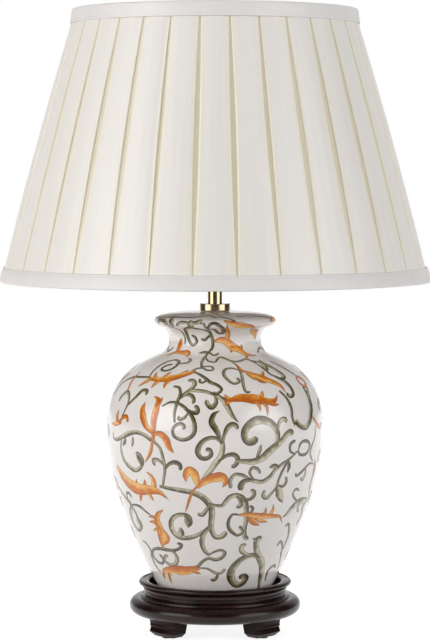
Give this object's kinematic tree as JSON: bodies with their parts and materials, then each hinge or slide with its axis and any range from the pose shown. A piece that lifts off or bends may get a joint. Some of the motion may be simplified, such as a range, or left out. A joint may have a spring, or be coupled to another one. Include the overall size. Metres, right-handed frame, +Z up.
{
  "type": "table lamp",
  "caption": "Baluster-shaped glazed ceramic table lamp on a dark turned wooden stand, with a switched brass lampholder and a pleated fabric shade on a gimbal.",
  "frame": {"origin": "centre of the lamp on the surface that it stands on", "axes": "+Z up along the lamp, -Y to the front, +X to the right seen from the front"},
  "size_m": [0.4076, 0.4076, 0.5907],
  "materials": {
    "dark_wood": "very dark reddish brown, semi-gloss lacquer",
    "felt": "dark brown felt",
    "zinc_steel": "zinc plated",
    "black_plastic": "moulded black",
    "glazed_ceramic": "pale grey-white glaze with olive and orange scrolling foliage",
    "rubber": "pale grey",
    "polished_brass": "polished",
    "white_insulator": "white heat resistant",
    "contact_metal": "plain",
    "bulb_cap_metal": "rolled thread",
    "bulb_insulator_glass": "black glass",
    "opal_glass": "opal white",
    "white_wire": "white coated wire",
    "ivory_fabric": "ivory box-pleated fabric",
    "lining_fabric": "smooth off-white lining",
    "trim_fabric": "ivory self-fabric binding"
  },
  "bodies": {
    "base": {"base_nut": "zinc_steel", "base_washer": "zinc_steel", "bulb_cap": "bulb_cap_metal", "bulb_contact": "contact_metal", "bulb_glass": "opal_glass", "bulb_insulator": "bulb_insulator_glass", "cap_gasket": "rubber", "centre_contact": "contact_metal", "cord_bush": "black_plastic", "felt_pad_1": "felt", "felt_pad_2": "felt", "felt_pad_3": "felt", "felt_pad_4": "felt", "foot_screws": "zinc_steel", "grub_screw": "zinc_steel", "holder_body": "polished_brass", "holder_cap": "polished_brass", "holder_core": "white_insulator", "lower_shade_ring": "polished_brass", "spacer_tube": "polished_brass", "stand_foot_1": "dark_wood", "stand_foot_2": "dark_wood", "stand_foot_3": "dark_wood", "stand_foot_4": "dark_wood", "thread_shell": "contact_metal", "threaded_rod": "zinc_steel", "upper_shade_ring": "polished_brass", "vase_body": "glazed_ceramic", "vase_cap": "polished_brass", "wood_stand": "dark_wood"},
    "gimbal": {"gimbal_ring": "white_wire", "pivot_screw_left": "zinc_steel", "pivot_screw_right": "zinc_steel"},
    "shade": {"gimbal_hoop": "white_wire", "fitter_arm_1": "white_wire", "fitter_arm_2": "white_wire", "fitter_arm_3": "white_wire", "fitter_arm_4": "white_wire", "bottom_wire": "white_wire", "top_wire": "white_wire", "shade_strut_1": "white_wire", "shade_strut_2": "white_wire", "shade_strut_3": "white_wire", "shade_strut_4": "white_wire", "shade_strut_5": "white_wire", "shade_strut_6": "white_wire", "shade_strut_7": "white_wire", "shade_strut_8": "white_wire", "shade_lining": "lining_fabric", "shade_cover": "ivory_fabric", "top_trim": "trim_fabric", "bottom_trim": "trim_fabric"},
    "switch": {"switch_bar": "black_plastic", "switch_button_left": "black_plastic", "switch_button_right": "black_plastic"}
  },
  "joints": [
    {"name": "shade_swivel", "type": "hinge", "parent": "base", "child": "gimbal", "pos_m": [0, 0, 0.3899], "axis": [0, 0, 1], "continuous": true},
    {"name": "shade_tilt", "type": "hinge", "parent": "gimbal", "child": "shade", "pos_m": [0, 0, 0.3899], "axis": [1, 0, 0], "range_deg": [-15, 15]},
    {"name": "switch_push", "type": "slide", "parent": "base", "child": "switch", "axis": [-1, 0, 0], "range_m": [0, 0.006]}
  ]
}
